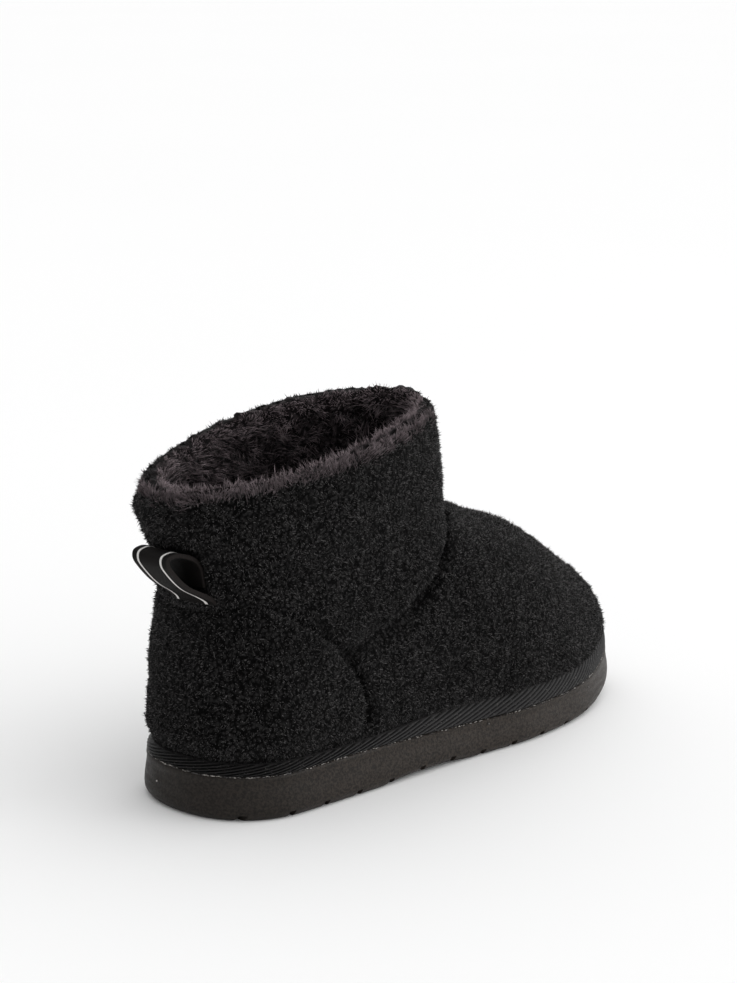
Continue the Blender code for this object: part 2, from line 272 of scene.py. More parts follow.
# Studio: the point that the camera looks at, the photo's framing to its right and over it as
# shares of the distance, and the soft box.
AIM = (0.0062, -0.0027, 0.050)
FRAMED_RIGHT, FRAMED_UP = -0.01273, 0.0497
FLOOR_RADIUS = 40.0
SOFT_BOX_PLACE, SOFT_BOX_TARGET = (1.1, -1.5, 1.2), (0.0, 0.0, 0.06)
SOFT_BOX_SIZE, SOFT_BOX_POWER = 0.9, 3.0


def length_setting(name, description, default):
    """A length, shown in the scene's unit."""
    return FloatProperty(name=name, description=description, default=default, unit="LENGTH")


def colour_setting(name, description, default):
    """A colour, shown as a swatch."""
    return FloatVectorProperty(name=name, description=description, default=default, subtype="COLOR")


def angle_setting(name, description, degrees):
    """An angle, shown in degrees."""
    return FloatProperty(name=name, description=description, default=math.radians(degrees), subtype="ANGLE")


class FleeceSettings(bpy.types.PropertyGroup):
    """Sizes and colours of the outer fleece."""

    grid: length_setting("Grid", "Size of the mesh under the tufts", 0.00152)
    pile: length_setting("Pile", "How far the fleece stands off the wall", 0.0014)
    curl: length_setting("Curl", "Distance between clumps of tufts", 0.0042)
    relief: length_setting("Relief", "Height of the clumps", 0.0010)
    tuft: length_setting("Tuft", "Length of a tuft", 0.0014)
    tufts: IntProperty(name="Tufts", description="Tufts all over the boot", default=98000)
    colour: colour_setting("Colour", "Colour of the fleece", (0.0135, 0.0130, 0.0130))


class LiningSettings(bpy.types.PropertyGroup):
    """Sizes and colours of the long pile inside."""

    grid: length_setting("Grid", "Size of the mesh under the pile", 0.0020)
    pile: length_setting("Pile", "How far the lining stands off the wall", 0.0026)
    fold: length_setting("Fold", "How far the lining turns down over the rim", 0.0022)
    hair: length_setting("Hair", "Length of the long hairs", 0.0072)
    hairs: IntProperty(name="Hairs", description="Long hairs inside the collar", default=16600)
    fringe: IntProperty(name="Fringe", description="Hairs that rise over the rim's edge", default=3200)
    colour: colour_setting("Colour", "Colour of the lining", (0.034, 0.0275, 0.029))


class BandSettings(bpy.types.PropertyGroup):
    """Sizes and colours of the ribbed band and its glue line."""

    height: length_setting("Height", "Height of the band", 0.0078)
    thickness: length_setting("Thickness", "How far the band stands out", 0.0036)
    depth: length_setting("Depth", "Depth of the gaps between ribs", 0.00085)
    beads: IntProperty(name="Beads", description="Glue beads along the sole", default=620)
    colour: colour_setting("Colour", "Colour of the rubber", (0.024, 0.0232, 0.0235))


class SoleSettings(bpy.types.PropertyGroup):
    """Fineness and colour of the foam sole."""

    steps: IntProperty(name="Steps", description="Points along one side of the sole", default=420)
    colour: colour_setting("Colour", "Colour of the foam", (0.0200, 0.0158, 0.0128))


class LoopSettings(bpy.types.PropertyGroup):
    """Sizes and colours of the woven pull loop."""

    line: length_setting("Line", "Width of the pale edge lines", 0.0012)
    line_apart: length_setting("Lines Apart", "Distance between the pale lines", 0.0138)
    colour: colour_setting("Colour", "Colour of the tape", (0.018, 0.0155, 0.0148))
    line_colour: colour_setting("Line Colour", "Colour of the edge lines", (0.80, 0.78, 0.76))


class StageSettings(bpy.types.PropertyGroup):
    """The studio: floor, light and camera."""

    azimuth: angle_setting("Azimuth", "Camera's angle round the boot", -45)
    elevation: angle_setting("Elevation", "Camera's angle above the floor", 16)
    distance: length_setting("Distance", "Camera's distance from the boot", 1.2)
    lens: FloatProperty(name="Lens", description="Camera's focal length in millimetres", default=101.5)
    light: FloatProperty(name="Light", description="Strength of the light all round", default=1.08)
    contrast: FloatProperty(
        name="Contrast", description="How much more light comes from the bright side", default=0.70
    )
    bright_side: FloatVectorProperty(
        name="Bright Side", description="Where most of the light comes from", default=(0.85, -0.52, 0.0)
    )
    floor: colour_setting("Floor", "Colour of the floor", (0.91, 0.91, 0.91))


def smooth(knots, values, where):
    """Read a monotone cubic curve through (knots, values) at each place in where."""
    knots, values, where = (np.asarray(a, float) for a in (knots, values, where))
    step = np.diff(knots)
    slope = np.diff(values) / step
    before, after = slope[:-1], slope[1:]
    near, far = 2 * step[1:] + step[:-1], step[1:] + 2 * step[:-1]
    turning = before * after <= 0
    safe_before = np.where(turning, 1.0, before)
    safe_after = np.where(turning, 1.0, after)
    middle = (near + far) / (near / safe_before + far / safe_after)
    tangent = np.concatenate([slope[:1], np.where(turning, 0.0, middle), slope[-1:]])
    cell = np.clip(np.searchsorted(knots, where, side="right") - 1, 0, len(knots) - 2)
    t = (where - knots[cell]) / step[cell]
    start, end = values[cell], values[cell + 1]
    leave, arrive = tangent[cell] * step[cell], tangent[cell + 1] * step[cell]
    held = start * (1 + 2 * t) * (1 - t) ** 2 + end * t**2 * (3 - 2 * t)
    return held + leave * t * (1 - t) ** 2 - arrive * t**2 * (1 - t)


def columns(rows, steps):
    """Each column of a table, read smoothly at this many even steps from its first row to its last."""
    order = np.linspace(0, len(rows) - 1, steps)
    return [smooth(range(len(rows)), column, order) for column in zip(*rows)]


def ramp(value, start, full):
    """0 at start and 1 at full, whichever of them is the greater, with level ends."""
    t = np.clip((value - start) / (full - start), 0, 1)
    return t * t * (3 - 2 * t)


def bell(distance, width):
    """1 at no distance, softly down to 0 past this width."""
    return np.exp(-((distance / width) ** 2))


def rounding(share, heel, toe):
    """The share of the full half-width left by the round heel and toe ends."""
    into_heel = np.clip((heel - share) / heel, 0, 1)
    into_toe = np.clip((share - (1 - toe)) / toe, 0, 1)
    return (1 - np.maximum(into_heel, into_toe) ** ROUND_POWER) ** (1 / ROUND_POWER)


def edge_normals(points):
    """The outward direction at each point of a flat ring."""
    tangent = np.roll(points, -1, 0) - np.roll(points, 1, 0)
    normal = np.stack([tangent[:, 1], -tangent[:, 0]], 1)
    return normal / np.linalg.norm(normal, axis=1, keepdims=True)


def outline(inset, steps):
    """The sole's edge from above, moved in by inset: heel, outer side, toe, inner side."""
    share = (1 - np.cos(np.linspace(0, math.pi, steps + 1))) / 2
    along, outer, inner = zip(*OUTLINE)
    centre = TOE_SWING * share**2
    outer_width = smooth(along, outer, share) * rounding(share, HEEL_ROUND, TOE_ROUND_OUTER)
    inner_width = smooth(along, inner, share) * rounding(share, HEEL_ROUND, TOE_ROUND_INNER)
    outer_y = centre - SOLE_WIDTH * outer_width
    inner_y = centre + SOLE_WIDTH * inner_width
    x = np.concatenate([share, share[-2:0:-1]]) * SOLE_LENGTH
    y = np.concatenate([outer_y, inner_y[-2:0:-1]])
    points = np.stack([x, y], 1)
    return points - inset * edge_normals(points)


def tread(x):
    """Height of the sole's flat underside at x, without the arch."""
    past = np.clip((x / SOLE_LENGTH - SPRING_FROM) / (1 - SPRING_FROM), 0, 1)
    return TOE_SPRING * past**2


def underside(x):
    """Height of the sole's underside at x."""
    share = x / SOLE_LENGTH
    third = (ARCH_TO - ARCH_FROM) / 3
    arch = ramp(share, ARCH_FROM, ARCH_FROM + third) - ramp(share, ARCH_TO - third, ARCH_TO)
    return tread(x) + ARCH_RISE * arch


def sole_top(x):
    """Height of the sole's upper face at x."""
    thinned = ramp(x / SOLE_LENGTH, HEEL_TO, FORE_FROM)
    return tread(x) + HEEL_THICKNESS + (FORE_THICKNESS - HEEL_THICKNESS) * thinned


def placed(flat, height):
    """Points of a flat ring at their height, carried into the frame."""
    return np.column_stack([flat[:, 0] + HEEL_X, flat[:, 1] + MIDDLE_Y, height])


def new_object(name, mesh):
    """Link a new object that holds this mesh, shaded smooth."""
    item = bpy.data.objects.new(name, mesh)
    bpy.context.scene.collection.objects.link(item)
    mesh.shade_smooth()
    return item


def object_from(work, name):
    """Turn a bmesh into a linked object."""
    mesh = bpy.data.meshes.new(name)
    work.to_mesh(mesh)
    work.free()
    return new_object(name, mesh)


def applied(item):
    """Replace an object by its evaluated mesh, with the modifiers applied."""
    graph = bpy.context.evaluated_depsgraph_get()
    mesh = bpy.data.meshes.new_from_object(item.evaluated_get(graph))
    bpy.data.objects.remove(item)
    return mesh


def merged(node):
    """A bmesh copy of a CAD node with its loose triangles joined."""
    work = bmesh.new()
    work.from_mesh(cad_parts[node].data)
    bmesh.ops.remove_doubles(work, verts=work.verts, dist=WELD)
    return work


def remeshed(node, voxel):
    """A closed and evenly fine mesh in the shape of a CAD node."""
    rough = object_from(merged(node), node + "_rough")
    grid = rough.modifiers.new("grid", "REMESH")
    grid.mode = "VOXEL"
    grid.voxel_size = voxel
    return applied(rough)


def read_all(items, field, kind=np.int32, width=1):
    """One field of every vertex, loop or face as a flat array."""
    values = np.zeros(len(items) * width, kind)
    items.foreach_get(field, values)
    return values


def surface(mesh):
    """The vertices' places and normals as two arrays."""
    fields = (read_all(mesh.vertices, field, np.float32, 3) for field in ("co", "normal"))
    return [values.reshape(-1, 3).astype(float) for values in fields]


def set_places(mesh, places):
    """Move the vertices of a mesh."""
    mesh.vertices.foreach_set("co", places.astype(np.float32).ravel())
    mesh.update()


def set_attribute(mesh, name, values):
    """Give each vertex a number that materials can read."""
    layer = mesh.attributes.new(name, "FLOAT", "POINT")
    layer.data.foreach_set("value", np.asarray(values, np.float32))


def waves(places, size, shift=0.0):
    """Soft noise from about -1 to 1 with the given size."""
    return np.array([noise.noise(Vector(p)) for p in (places / size + shift).tolist()])


def swirls(places, size):
    """A soft noise direction at each place, much alike within the given size."""
    return np.array([noise.noise_vector(Vector(p)) for p in (places / size).tolist()])


def curls(places, size, twist):
    """Rounded lumps, 1 at their tops and 0 in the pits between them."""
    lumps = []
    for x, y, z in (places / size).tolist():
        place = Vector((x, y, z))
        place += twist * noise.noise_vector(place * 0.7)
        lumps.append(1 - noise.voronoi(place)[0][0])
    return np.array(lumps)


def nearest_on_line(places, line):
    """The nearest point of a polyline to each place."""
    best = np.full(len(places), np.inf)
    found = np.zeros_like(places)
    for start, end in zip(line, line[1:]):
        way = end - start
        share = np.clip((places - start) @ way / (way @ way), 0, 1)
        candidate = start + share[:, None] * way
        distance = np.linalg.norm(places - candidate, axis=1)
        closer = distance < best
        best[closer] = distance[closer]
        found[closer] = candidate[closer]
    return found


def outwardness(places, normals):
    """1 on the outer face of the upper, 0 on its inner face, turning over at the rim."""
    away = places - nearest_on_line(places, np.array(HOLLOW_LINE))
    away /= np.linalg.norm(away, axis=1, keepdims=True)
    return ramp((away * normals).sum(1), -0.35, 0.35)


def below_rim(places):
    """How far a place is under the collar's sloping rim."""
    (back_x, back_z), (front_x, front_z) = RIM_BACK, RIM_FRONT
    share = (places[:, 0] - back_x) / (front_x - back_x)
    return back_z + (front_z - back_z) * share - places[:, 2]


def band_run(x):
    """How much of the band is free, and the ribs' spacing along and up it, at each x of the sole."""
    along, *rest = zip(*BAND_RUN)
    return [smooth(along, column, np.clip(x / SOLE_LENGTH, 0, 1)) for column in rest]


def above_band(places):
    """How far a place is over the top of the ribbed band."""
    x = places[:, 0] - HEEL_X
    height = bpy.context.scene.sherpa_boot.band.height * band_run(x)[0]
    ragged = 0.0009 * waves(places, 0.011, 6.0)
    return places[:, 2] - sole_top(x) - height + ragged


def seam_distance(places, rows):
    """How far each place is from a seam line of the upper."""
    skin = BVHTree.FromBMesh(merged("upper"))
    points = []
    along, across, height = columns(rows, SEAM_STEPS)
    for side in (-1, 1):
        for a, b, c in zip(along, side * across, height):
            x = a * SOLE_LENGTH
            z = float(sole_top(x)) + c * SHAFT_HEIGHT
            points.append(skin.find_nearest((x + HEEL_X, b * SOLE_WIDTH + MIDDLE_Y, z))[0])
    tree = KDTree(len(points))
    for index, point in enumerate(points):
        tree.insert(point, index)
    tree.balance()
    return np.array([tree.find(place)[2] for place in places.tolist()])


def fullness(places):
    """How much fuller or thinner the fleece lies than its even pile, from place to place."""
    axes = dict(zip("xyz", places.T), under=below_rim(places))
    total = np.zeros(len(places))
    for amount, *limits in FULLNESS:
        total += amount * np.prod([ramp(axes[axis], start, full) for axis, start, full in limits], 0)
    return total


def near_side(places):
    """1 along the outer back of the collar, where its hair stands up, 0 on the other side."""
    return ramp(places[:, 1] + 0.4 * (places[:, 0] + 0.06), 0.010, -0.030)


def under_loop(places):
    """1 where the pull loop lies on the heel and presses the fleece flat, 0 elsewhere."""
    low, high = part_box("pull_loop")
    heel = ramp(places[:, 0], low.x + 0.036, low.x + 0.030)
    aside = np.abs(places[:, 1] - (low.y + high.y) / 2) - LOOP_WIDTH / 2
    beyond = np.maximum(low.z + 0.004 - places[:, 2], places[:, 2] - high.z + 0.001)
    return heel * ramp(aside, 0.0015, -0.0015) * ramp(beyond, 0.0015, -0.0015)


def hair_mesh(name, rings, roots, aims, bends, lengths, radii, tones):
    """Many tapered, closed hairs in one mesh, each growing lighter to its own tone.

    A ring is a share of the hair's length and a share of its radius there.
    """
    count = len(roots)
    aims = aims / np.linalg.norm(aims, axis=1, keepdims=True)
    side = np.cross(aims, np.roll(aims, 1, axis=1) + 0.13)
    side /= np.linalg.norm(side, axis=1, keepdims=True)
    other = np.cross(aims, side)
    rows, tips = [], []
    for share, width in rings:
        middle = roots + aims * lengths[:, None] * share + bends * share**2
        for turn in (0, 1, 2):
            angle = turn * math.tau / 3
            ring = side * math.cos(angle) + other * math.sin(angle)
            rows.append(middle + ring * radii[:, None] * width)
            tips.append(share)
    rows.append(roots + aims * lengths[:, None] + bends)
    tips.append(1.0)
    points = np.stack(rows, 1).reshape(-1, 3)
    size, last = len(rows), len(rows) - 4
    around = ((0, 1), (1, 2), (2, 0))
    pattern = [(2, 1, 0)] + [(last + a, last + b, last + 3) for a, b in around]
    for low in range(0, last, 3):
        pattern += [(low + a, low + b, low + b + 3, low + a + 3) for a, b in around]
    faces = [tuple(k + size * i for k in face) for i in range(count) for face in pattern]
    mesh = bpy.data.meshes.new(name)
    mesh.from_pydata(points.tolist(), [], faces)
    set_attribute(mesh, "tip", np.outer(tones, tips).ravel())
    return mesh


def scatter(mesh, weights, count, rng):
    """Random places on a mesh and its lean there, more of them where the vertex weights are high."""
    areas = read_all(mesh.polygons, "area", np.float32)
    starts = read_all(mesh.polygons, "loop_start")
    totals = read_all(mesh.polygons, "loop_total")
    corner = read_all(mesh.loops, "vertex_index")
    places, normals = surface(mesh)
    one, two, three = (corner[starts + k] for k in range(3))
    share = areas * weights[one] * weights[two] * weights[three]
    chosen = rng.choice(len(share), count, p=share / share.sum())
    mix = rng.dirichlet((1, 1, 1), count)
    half = (totals[chosen] == 4) * rng.integers(0, 2, count)
    corners = np.stack([corner[starts[chosen] + k] for k in (0 * half, 1 + half, 2 + half)], 1)
    spots = (places[corners] * mix[:, :, None]).sum(1)
    leans = (normals[corners] * mix[:, :, None]).sum(1)
    return spots, leans / np.linalg.norm(leans, axis=1, keepdims=True)


class NodeTree:
    """Short calls that add and join the nodes of one material or group."""

    def __init__(self, tree):
        self.tree = tree

    def add(self, kind, inputs=None, **fields):
        """Add a node, set its fields, and fill or join its inputs."""
        node = self.tree.nodes.new(kind)
        for field, value in fields.items():
            setattr(node, field, value)
        for key, value in (inputs or {}).items():
            self.fill(node.inputs[key], value)
        return node

    def fill(self, socket, value):
        """Join an output to a socket, or set the socket's own value."""
        if isinstance(value, bpy.types.NodeSocket):
            self.tree.links.new(value, socket)
        else:
            socket.default_value = value

    def maths(self, operation, first, second=0.0, third=0.0):
        """A Math node's output."""
        return self.add("ShaderNodeMath", {0: first, 1: second, 2: third}, operation=operation).outputs[0]

    def between(self, value, low, high, start=0.0, end=1.0):
        """Carry a value from one range to another, smoothly and clamped."""
        node = self.add(
            "ShaderNodeMapRange",
            {"Value": value, "From Min": low, "From Max": high, "To Min": start, "To Max": end},
            interpolation_type="SMOOTHSTEP",
        )
        return node.outputs["Result"]

    def mixed(self, share, first, second):
        """Mix two colours."""
        node = self.add("ShaderNodeMix", data_type="RGBA")
        self.fill(node.inputs["Factor"], share)
        for socket, value in (("A", first), ("B", second)):
            self.fill(node.inputs[socket], (*value, 1) if isinstance(value, tuple) else value)
        return node.outputs["Result"]

    def grain(self, vector, scale, detail=2.0, rough=0.5):
        """A Noise Texture's factor."""
        inputs = {"Vector": vector, "Scale": scale, "Detail": detail, "Roughness": rough}
        return self.add("ShaderNodeTexNoise", inputs).outputs["Fac"]

    def attribute(self, name):
        """A number that the mesh's vertices carry."""
        return self.add("ShaderNodeAttribute", attribute_name=name).outputs["Fac"]

    def bump(self, shader, height, strength, distance):
        """Raise the shader's surface by a height."""
        inputs = {"Height": height, "Strength": strength, "Distance": distance}
        self.fill(shader.inputs["Normal"], self.add("ShaderNodeBump", inputs).outputs[0])


def new_material(name, roughness, specular):
    """A material with its shader, the node calls to fill it, and the place on the object."""
    made = bpy.data.materials.new(name)
    made.use_nodes = True
    nodes = NodeTree(made.node_tree)
    shader = made.node_tree.nodes["Principled BSDF"]
    shader.inputs["Roughness"].default_value = roughness
    shader.inputs["Specular IOR Level"].default_value = specular
    place = nodes.add("ShaderNodeTexCoord").outputs["Object"]
    return made, nodes, shader, place


def wool_group():
    """A group that gives curls of wool: a tone from painted shade in the pits to lighter tips, a height, and
    broad patches.
    """
    name = "wool_curls"
    if name in bpy.data.node_groups:
        return bpy.data.node_groups[name]
    tree = bpy.data.node_groups.new(name, "ShaderNodeTree")
    for label, kind in (("Vector", "NodeSocketVector"), ("Curl Scale", "NodeSocketFloat")):
        tree.interface.new_socket(label, in_out="INPUT", socket_type=kind)
    for label in ("Tone", "Height", "Patches"):
        tree.interface.new_socket(label, in_out="OUTPUT", socket_type="NodeSocketFloat")
    nodes = NodeTree(tree)
    given = nodes.add("NodeGroupInput").outputs
    place, scale = given["Vector"], given["Curl Scale"]
    bent = nodes.add("ShaderNodeTexNoise", {"Vector": place, "Scale": scale, "Detail": 1.0}).outputs["Color"]
    offset = nodes.add("ShaderNodeVectorMath", {0: bent, 1: (0.5, 0.5, 0.5)}, operation="SUBTRACT").outputs[0]
    small = nodes.maths("DIVIDE", 1.1, scale)
    pushed = nodes.add("ShaderNodeVectorMath", {0: offset, "Scale": small}, operation="SCALE").outputs[0]
    warped = nodes.add("ShaderNodeVectorMath", {0: place, 1: pushed}, operation="ADD").outputs[0]
    cells = nodes.add("ShaderNodeTexVoronoi", {"Vector": warped, "Scale": scale}).outputs["Distance"]
    fine = nodes.grain(warped, nodes.maths("MULTIPLY", scale, 2.6), 3.0, 0.65)
    round_top = nodes.between(cells, 0.75, 0.10)
    height = nodes.maths("MULTIPLY_ADD", fine, 0.55, nodes.maths("MULTIPLY", round_top, 0.6))
    broad = nodes.grain(place, nodes.maths("MULTIPLY", scale, 0.09))
    # The tone is dark in the pits between curls: painted shade.
    tone, patches = nodes.between(height, 0.28, 0.92), nodes.between(broad, 0.30, 0.70)
    nodes.add("NodeGroupOutput", {"Tone": tone, "Height": height, "Patches": patches})
    return tree


def wool_material(name, colour, dark, light, curl_scale, sheen, tips=False):
    """Curly wool or pile: painted shade in the pits, lighter tips, soft patches and a little sheen."""
    made, nodes, shader, place = new_material(name, 0.92, 0.03)
    group = nodes.add("ShaderNodeGroup", node_tree=wool_group())
    nodes.fill(group.inputs["Vector"], place)
    nodes.fill(group.inputs["Curl Scale"], curl_scale)
    tone, height, patches = (group.outputs[label] for label in ("Tone", "Height", "Patches"))
    share = nodes.maths("MULTIPLY", tone, nodes.between(patches, 0.0, 1.0, 0.65, 1.0))
    if tips:
        quarter = nodes.maths("MULTIPLY", share, 0.25)
        share = nodes.maths("MULTIPLY_ADD", nodes.attribute("tip"), 0.75, quarter)
    body = nodes.mixed(share, shaded(colour, dark), shaded(colour, light))
    nodes.fill(shader.inputs["Base Color"], body)
    nodes.bump(shader, height, 0.9, 0.0009)
    shader.inputs["Sheen Weight"].default_value = sheen
    shader.inputs["Sheen Roughness"].default_value = 0.45
    return made


def shaded(colour, factor):
    """A colour made lighter or darker."""
    return tuple(min(1.0, channel * factor) for channel in colour)


def dress(item, material, slot, *nodes):
    """Give a finished piece its material and its ride, and hide the CAD nodes it stands for. The slot is not
    used.
    """
    item.data.materials.clear()
    item.data.materials.append(material)
    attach(item, "root")
    if nodes:
        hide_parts(*nodes)


def fleece_pile(places, settings):
    """How far the fleece stands off each place on the outer face of the upper."""
    under, pressed = below_rim(places), under_loop(places)
    counter, vamp = seam_distance(places, COUNTER_SEAM), seam_distance(places, VAMP_SEAM)
    low = ramp(places[:, 2], 0.075, 0.030)
    pinch = 1 - (0.1 + 0.75 * low) * bell(counter, COUNTER_PINCH)
    valley = 0.8 * ramp(places[:, 0], -0.004, -0.022)
    pinch -= 0.7 * bell(vamp, VAMP_PINCH) + valley * bell(vamp, VAMP_VALLEY)
    swell = bell(counter - SWELL_FROM_SEAM, COUNTER_SWELL)
    rim = ramp(under, -0.002, 0.003)
    lump = (curls(places, RIM_LUMP, 0.7) - 0.45) * ramp(under, 0.007, 0.001)
    foot = ramp(above_band(places), -0.0035, 0.0030)
    clump = curls(places, settings.curl, 0.9)
    patch = curls(places, settings.curl * 2.6, 0.7)
    soft = waves(places, 0.020) + 0.5 * waves(places, 0.008, 5.0)
    pile = settings.pile * (pinch + 0.25 * swell) + fullness(places)
    pile += settings.relief * (0.70 * clump + 0.55 * patch - 0.65) + 0.0005 * soft
    pile = pile * (0.45 + 0.55 * rim) * foot - 0.0006 * (1 - foot) + RIM_LUMP_RISE * lump
    return pile * (1 - pressed) - GAP * pressed


def fleece_tufts(mesh, furred, settings):
    """Scatter the tufts' short cones over the furred part of a mesh, in two pieces."""
    rng = np.random.default_rng(SEED)
    count = settings.tufts
    roots, leans = scatter(mesh, furred.astype(float), count, rng)
    creased = ramp(roots[:, 2], 0.090, 0.030) * bell(seam_distance(roots, COUNTER_SEAM), 0.0020)
    creased += 0.8 * bell(seam_distance(roots, VAMP_SEAM), 0.0045)
    creased = np.minimum(creased, 1)
    foot = ramp(above_band(roots), 0.004, 0.0)
    comb = swirls(roots, TUFT_COMB)
    aims = leans + 0.60 * comb + 0.32 * rng.normal(size=roots.shape)
    aims[:, 2] -= 0.6 * foot
    lengths = settings.tuft * rng.uniform(0.5, 1.1, count) * (1 - 0.4 * creased)
    bends = lengths[:, None] * (0.55 * comb + 0.30 * rng.normal(size=roots.shape))
    tones = 0.45 + 0.85 * waves(roots, TUFT_TONE, 4.0) + 0.42 * rng.normal(size=count)
    # Painted shade: tufts grow darker in the seams' creases and just above the band.
    tones = np.clip(tones, 0.0, 1.25) * (1 - 0.6 * creased) * (1 - 0.45 * foot)
    radii = rng.uniform(*TUFT_RADII, count)
    wool = wool_material("fleece_tuft", settings.colour, 0.03, 15.5, FLEECE_CURLS, 0.04, tips=True)
    rear = roots[:, 0] < np.median(roots[:, 0])
    hairs = (roots - TUFT_SUNK * leans, aims, bends, lengths, radii, tones)
    for name, part in (("fleece_tufts_rear", rear), ("fleece_tufts_front", ~rear)):
        cones = hair_mesh(name, [(0.0, 1.0)], *(values[part] for values in hairs))
        dress(new_object(name, cones), wool, "black_fleece")


class SHERPA_OT_fleece(bpy.types.Operator):
    """Build the curly outer fleece over the upper's wall."""

    bl_idname = "sherpa.fleece"
    bl_label = "Build Fleece"

    def execute(self, context):
        settings = context.scene.sherpa_boot.fleece
        mesh = remeshed("upper", settings.grid)
        places, normals = surface(mesh)
        outer = outwardness(places, normals)
        offset = outer * fleece_pile(places, settings) + (1 - outer) * FLEECE_SUNK
        set_places(mesh, places + normals * offset[:, None])
        fleece = new_object("fleece_upper", mesh)
        group = fleece.vertex_groups.new(name="inside")
        group.add(np.flatnonzero(outer < 0.2).tolist(), 1.0, "REPLACE")
        thin = fleece.modifiers.new("thin", "DECIMATE")
        thin.vertex_group = "inside"
        thin.ratio = INSIDE_KEPT
        fleece = new_object("fleece_upper", applied(fleece))
        wool = wool_material("sherpa_fleece", settings.colour, 0.10, 1.6, FLEECE_CURLS, 0.03)
        dress(fleece, wool, "black_fleece", "upper")
        furred = (outer > 0.45) & (above_band(places) > -0.0012) & (below_rim(places) > -0.0040)
        fleece_tufts(mesh, furred & (under_loop(places) < 0.4), settings)
        return {"FINISHED"}


def lining_offset(places, normals, settings):
    """How far the lining stands off each place of the upper, inside and turned over the rim."""
    outer, under = outwardness(places, normals), below_rim(places)
    clump = curls(places, LINING_CLUMP, 0.8)
    strand = curls(places, LINING_STRAND, 0.8)
    soft = waves(places, 0.016, 3.0)
    pile = settings.pile + 0.0026 * (clump - 0.5) + 0.0009 * (strand - 0.5) + 0.0008 * soft
    pile -= 0.0013 * ramp(-under, -0.005, 0.000)
    ragged = 0.12 * waves(places, 0.010, 9.0)
    turned = ramp(outer + ragged - 0.16 * near_side(places), 0.80, 0.55)
    turned *= ramp(under, settings.fold * 2, settings.fold)
    over = turned * pile - (1 - turned) * LINING_SUNK
    foot = ramp(above_band(places), -0.006, 0.004)
    return outer * over + (1 - outer) * pile * foot


def lining_hairs(lining, near, settings):
    """One mesh of the long hairs, most on the lining and a fringe on the fleece at the rim.

    near is how much each vertex of the lining is on the near side, before the pile moved it.
    """
    rng = np.random.default_rng(SEED + 1)
    places, normals = surface(lining)
    inner, under = 1 - outwardness(places, normals), below_rim(places)
    rim = (inner > 0.25 - 0.20 * near) * ramp(under, settings.fold * 2, settings.fold)
    weights = np.maximum(inner * ramp(under, 0.075, 0.035), rim * 1.25)
    spots, leans = scatter(lining, weights, settings.hairs, rng)
    fleece = bpy.data.objects["fleece_upper"].data
    places, normals = surface(fleece)
    edge = ramp(below_rim(places), 0.0065, 0.000)
    weights = (outwardness(places, normals) > 0.3) * edge * (0.3 + 0.7 * near_side(places))
    edge_spots, edge_leans = scatter(fleece, weights, settings.fringe, rng)
    spots, leans = np.concatenate([spots, edge_spots]), np.concatenate([leans, edge_leans])
    count = len(spots)
    fringe = (np.arange(count) >= settings.hairs).astype(float)
    under, near = below_rim(spots), near_side(spots)
    crown = np.maximum(ramp(-under, -0.007, -0.001), fringe)
    comb = swirls(spots, HAIR_COMB)
    aims = leans * (1 - 0.45 * fringe[:, None]) + 0.75 * comb + 0.22 * rng.normal(size=spots.shape)
    aims[:, 2] += 0.35 + 0.45 * crown * near + 0.35 * fringe
    lengths = settings.hair * rng.uniform(0.45, 1.0, count) * (1 - crown * (0.55 - 0.25 * near))
    bends = lengths[:, None] * (0.55 * comb + 0.16 * rng.normal(size=spots.shape))
    bends[:, 2] -= lengths * (0.25 - 0.15 * crown * near)
    radii = rng.uniform(*HAIR_RADII, count)
    clump = 0.32 + 0.90 * waves(spots, HAIR_TONE, 2.0) + 0.28 * rng.normal(size=count)
    # Painted light: hairs on the rim's top get lighter tones, and the fringe grows darker down the rim's
    # outside as painted shade.
    bright = rng.uniform(0.5, 1.4, count) * (1 - fringe * (0.35 + 0.45 * ramp(under, -0.002, 0.005)))
    tones = np.clip(clump, 0.0, 1.1) * (1 - crown) + bright * crown
    roots = spots - leans * HAIR_SUNK
    return hair_mesh("lining_hairs", [(0.0, 1.0), (0.58, 0.85)], roots, aims, bends, lengths, radii, tones)


class SHERPA_OT_lining(bpy.types.Operator):
    """Build the long pile inside the boot, over its rim and on its footbed."""

    bl_idname = "sherpa.lining"
    bl_label = "Build Lining"

    def execute(self, context):
        settings = context.scene.sherpa_boot.lining
        mesh = remeshed("upper", settings.grid)
        places, normals = surface(mesh)
        set_places(mesh, places + normals * lining_offset(places, normals, settings)[:, None])
        wool = wool_material("lining_pile", settings.colour, 0.12, 1.1, PILE_CURLS, 0.05)
        dress(new_object("pile_lining", mesh), wool, "dark_pile")
        hairs = new_object("lining_hairs", lining_hairs(mesh, near_side(places), settings))
        wool = wool_material("lining_hair", settings.colour, 0.08, 12.0, PILE_CURLS, 0.08, tips=True)
        dress(hairs, wool, "dark_pile")

        bed = remeshed("insole", FOOTBED_GRID)
        places, normals = surface(bed)
        clump = curls(places, FOOTBED_CLUMP, 0.8)
        rise = np.clip(normals[:, 2], 0, 1) * (FOOTBED_PILE + FOOTBED_RELIEF * (clump - 0.5))
        set_places(bed, places + normals * rise[:, None])
        wool = wool_material("footbed_pile", settings.colour, 0.2, 1.2, PILE_CURLS, 0.05)
        dress(new_object("pile_footbed", bed), wool, "dark_pile", "insole")
        return {"FINISHED"}


def joined_rings(work, rings, closed):
    """Add rings of points to a bmesh with faces from ring to ring, and from last to first if closed."""
    rows = [[work.verts.new(point) for point in ring] for ring in rings]
    for low, high in zip(rows, rows[1:] + rows[:1] * closed):
        count = len(low)
        for i in range(count):
            work.faces.new((low[i], low[(i + 1) % count], high[(i + 1) % count], high[i]))
    return rows


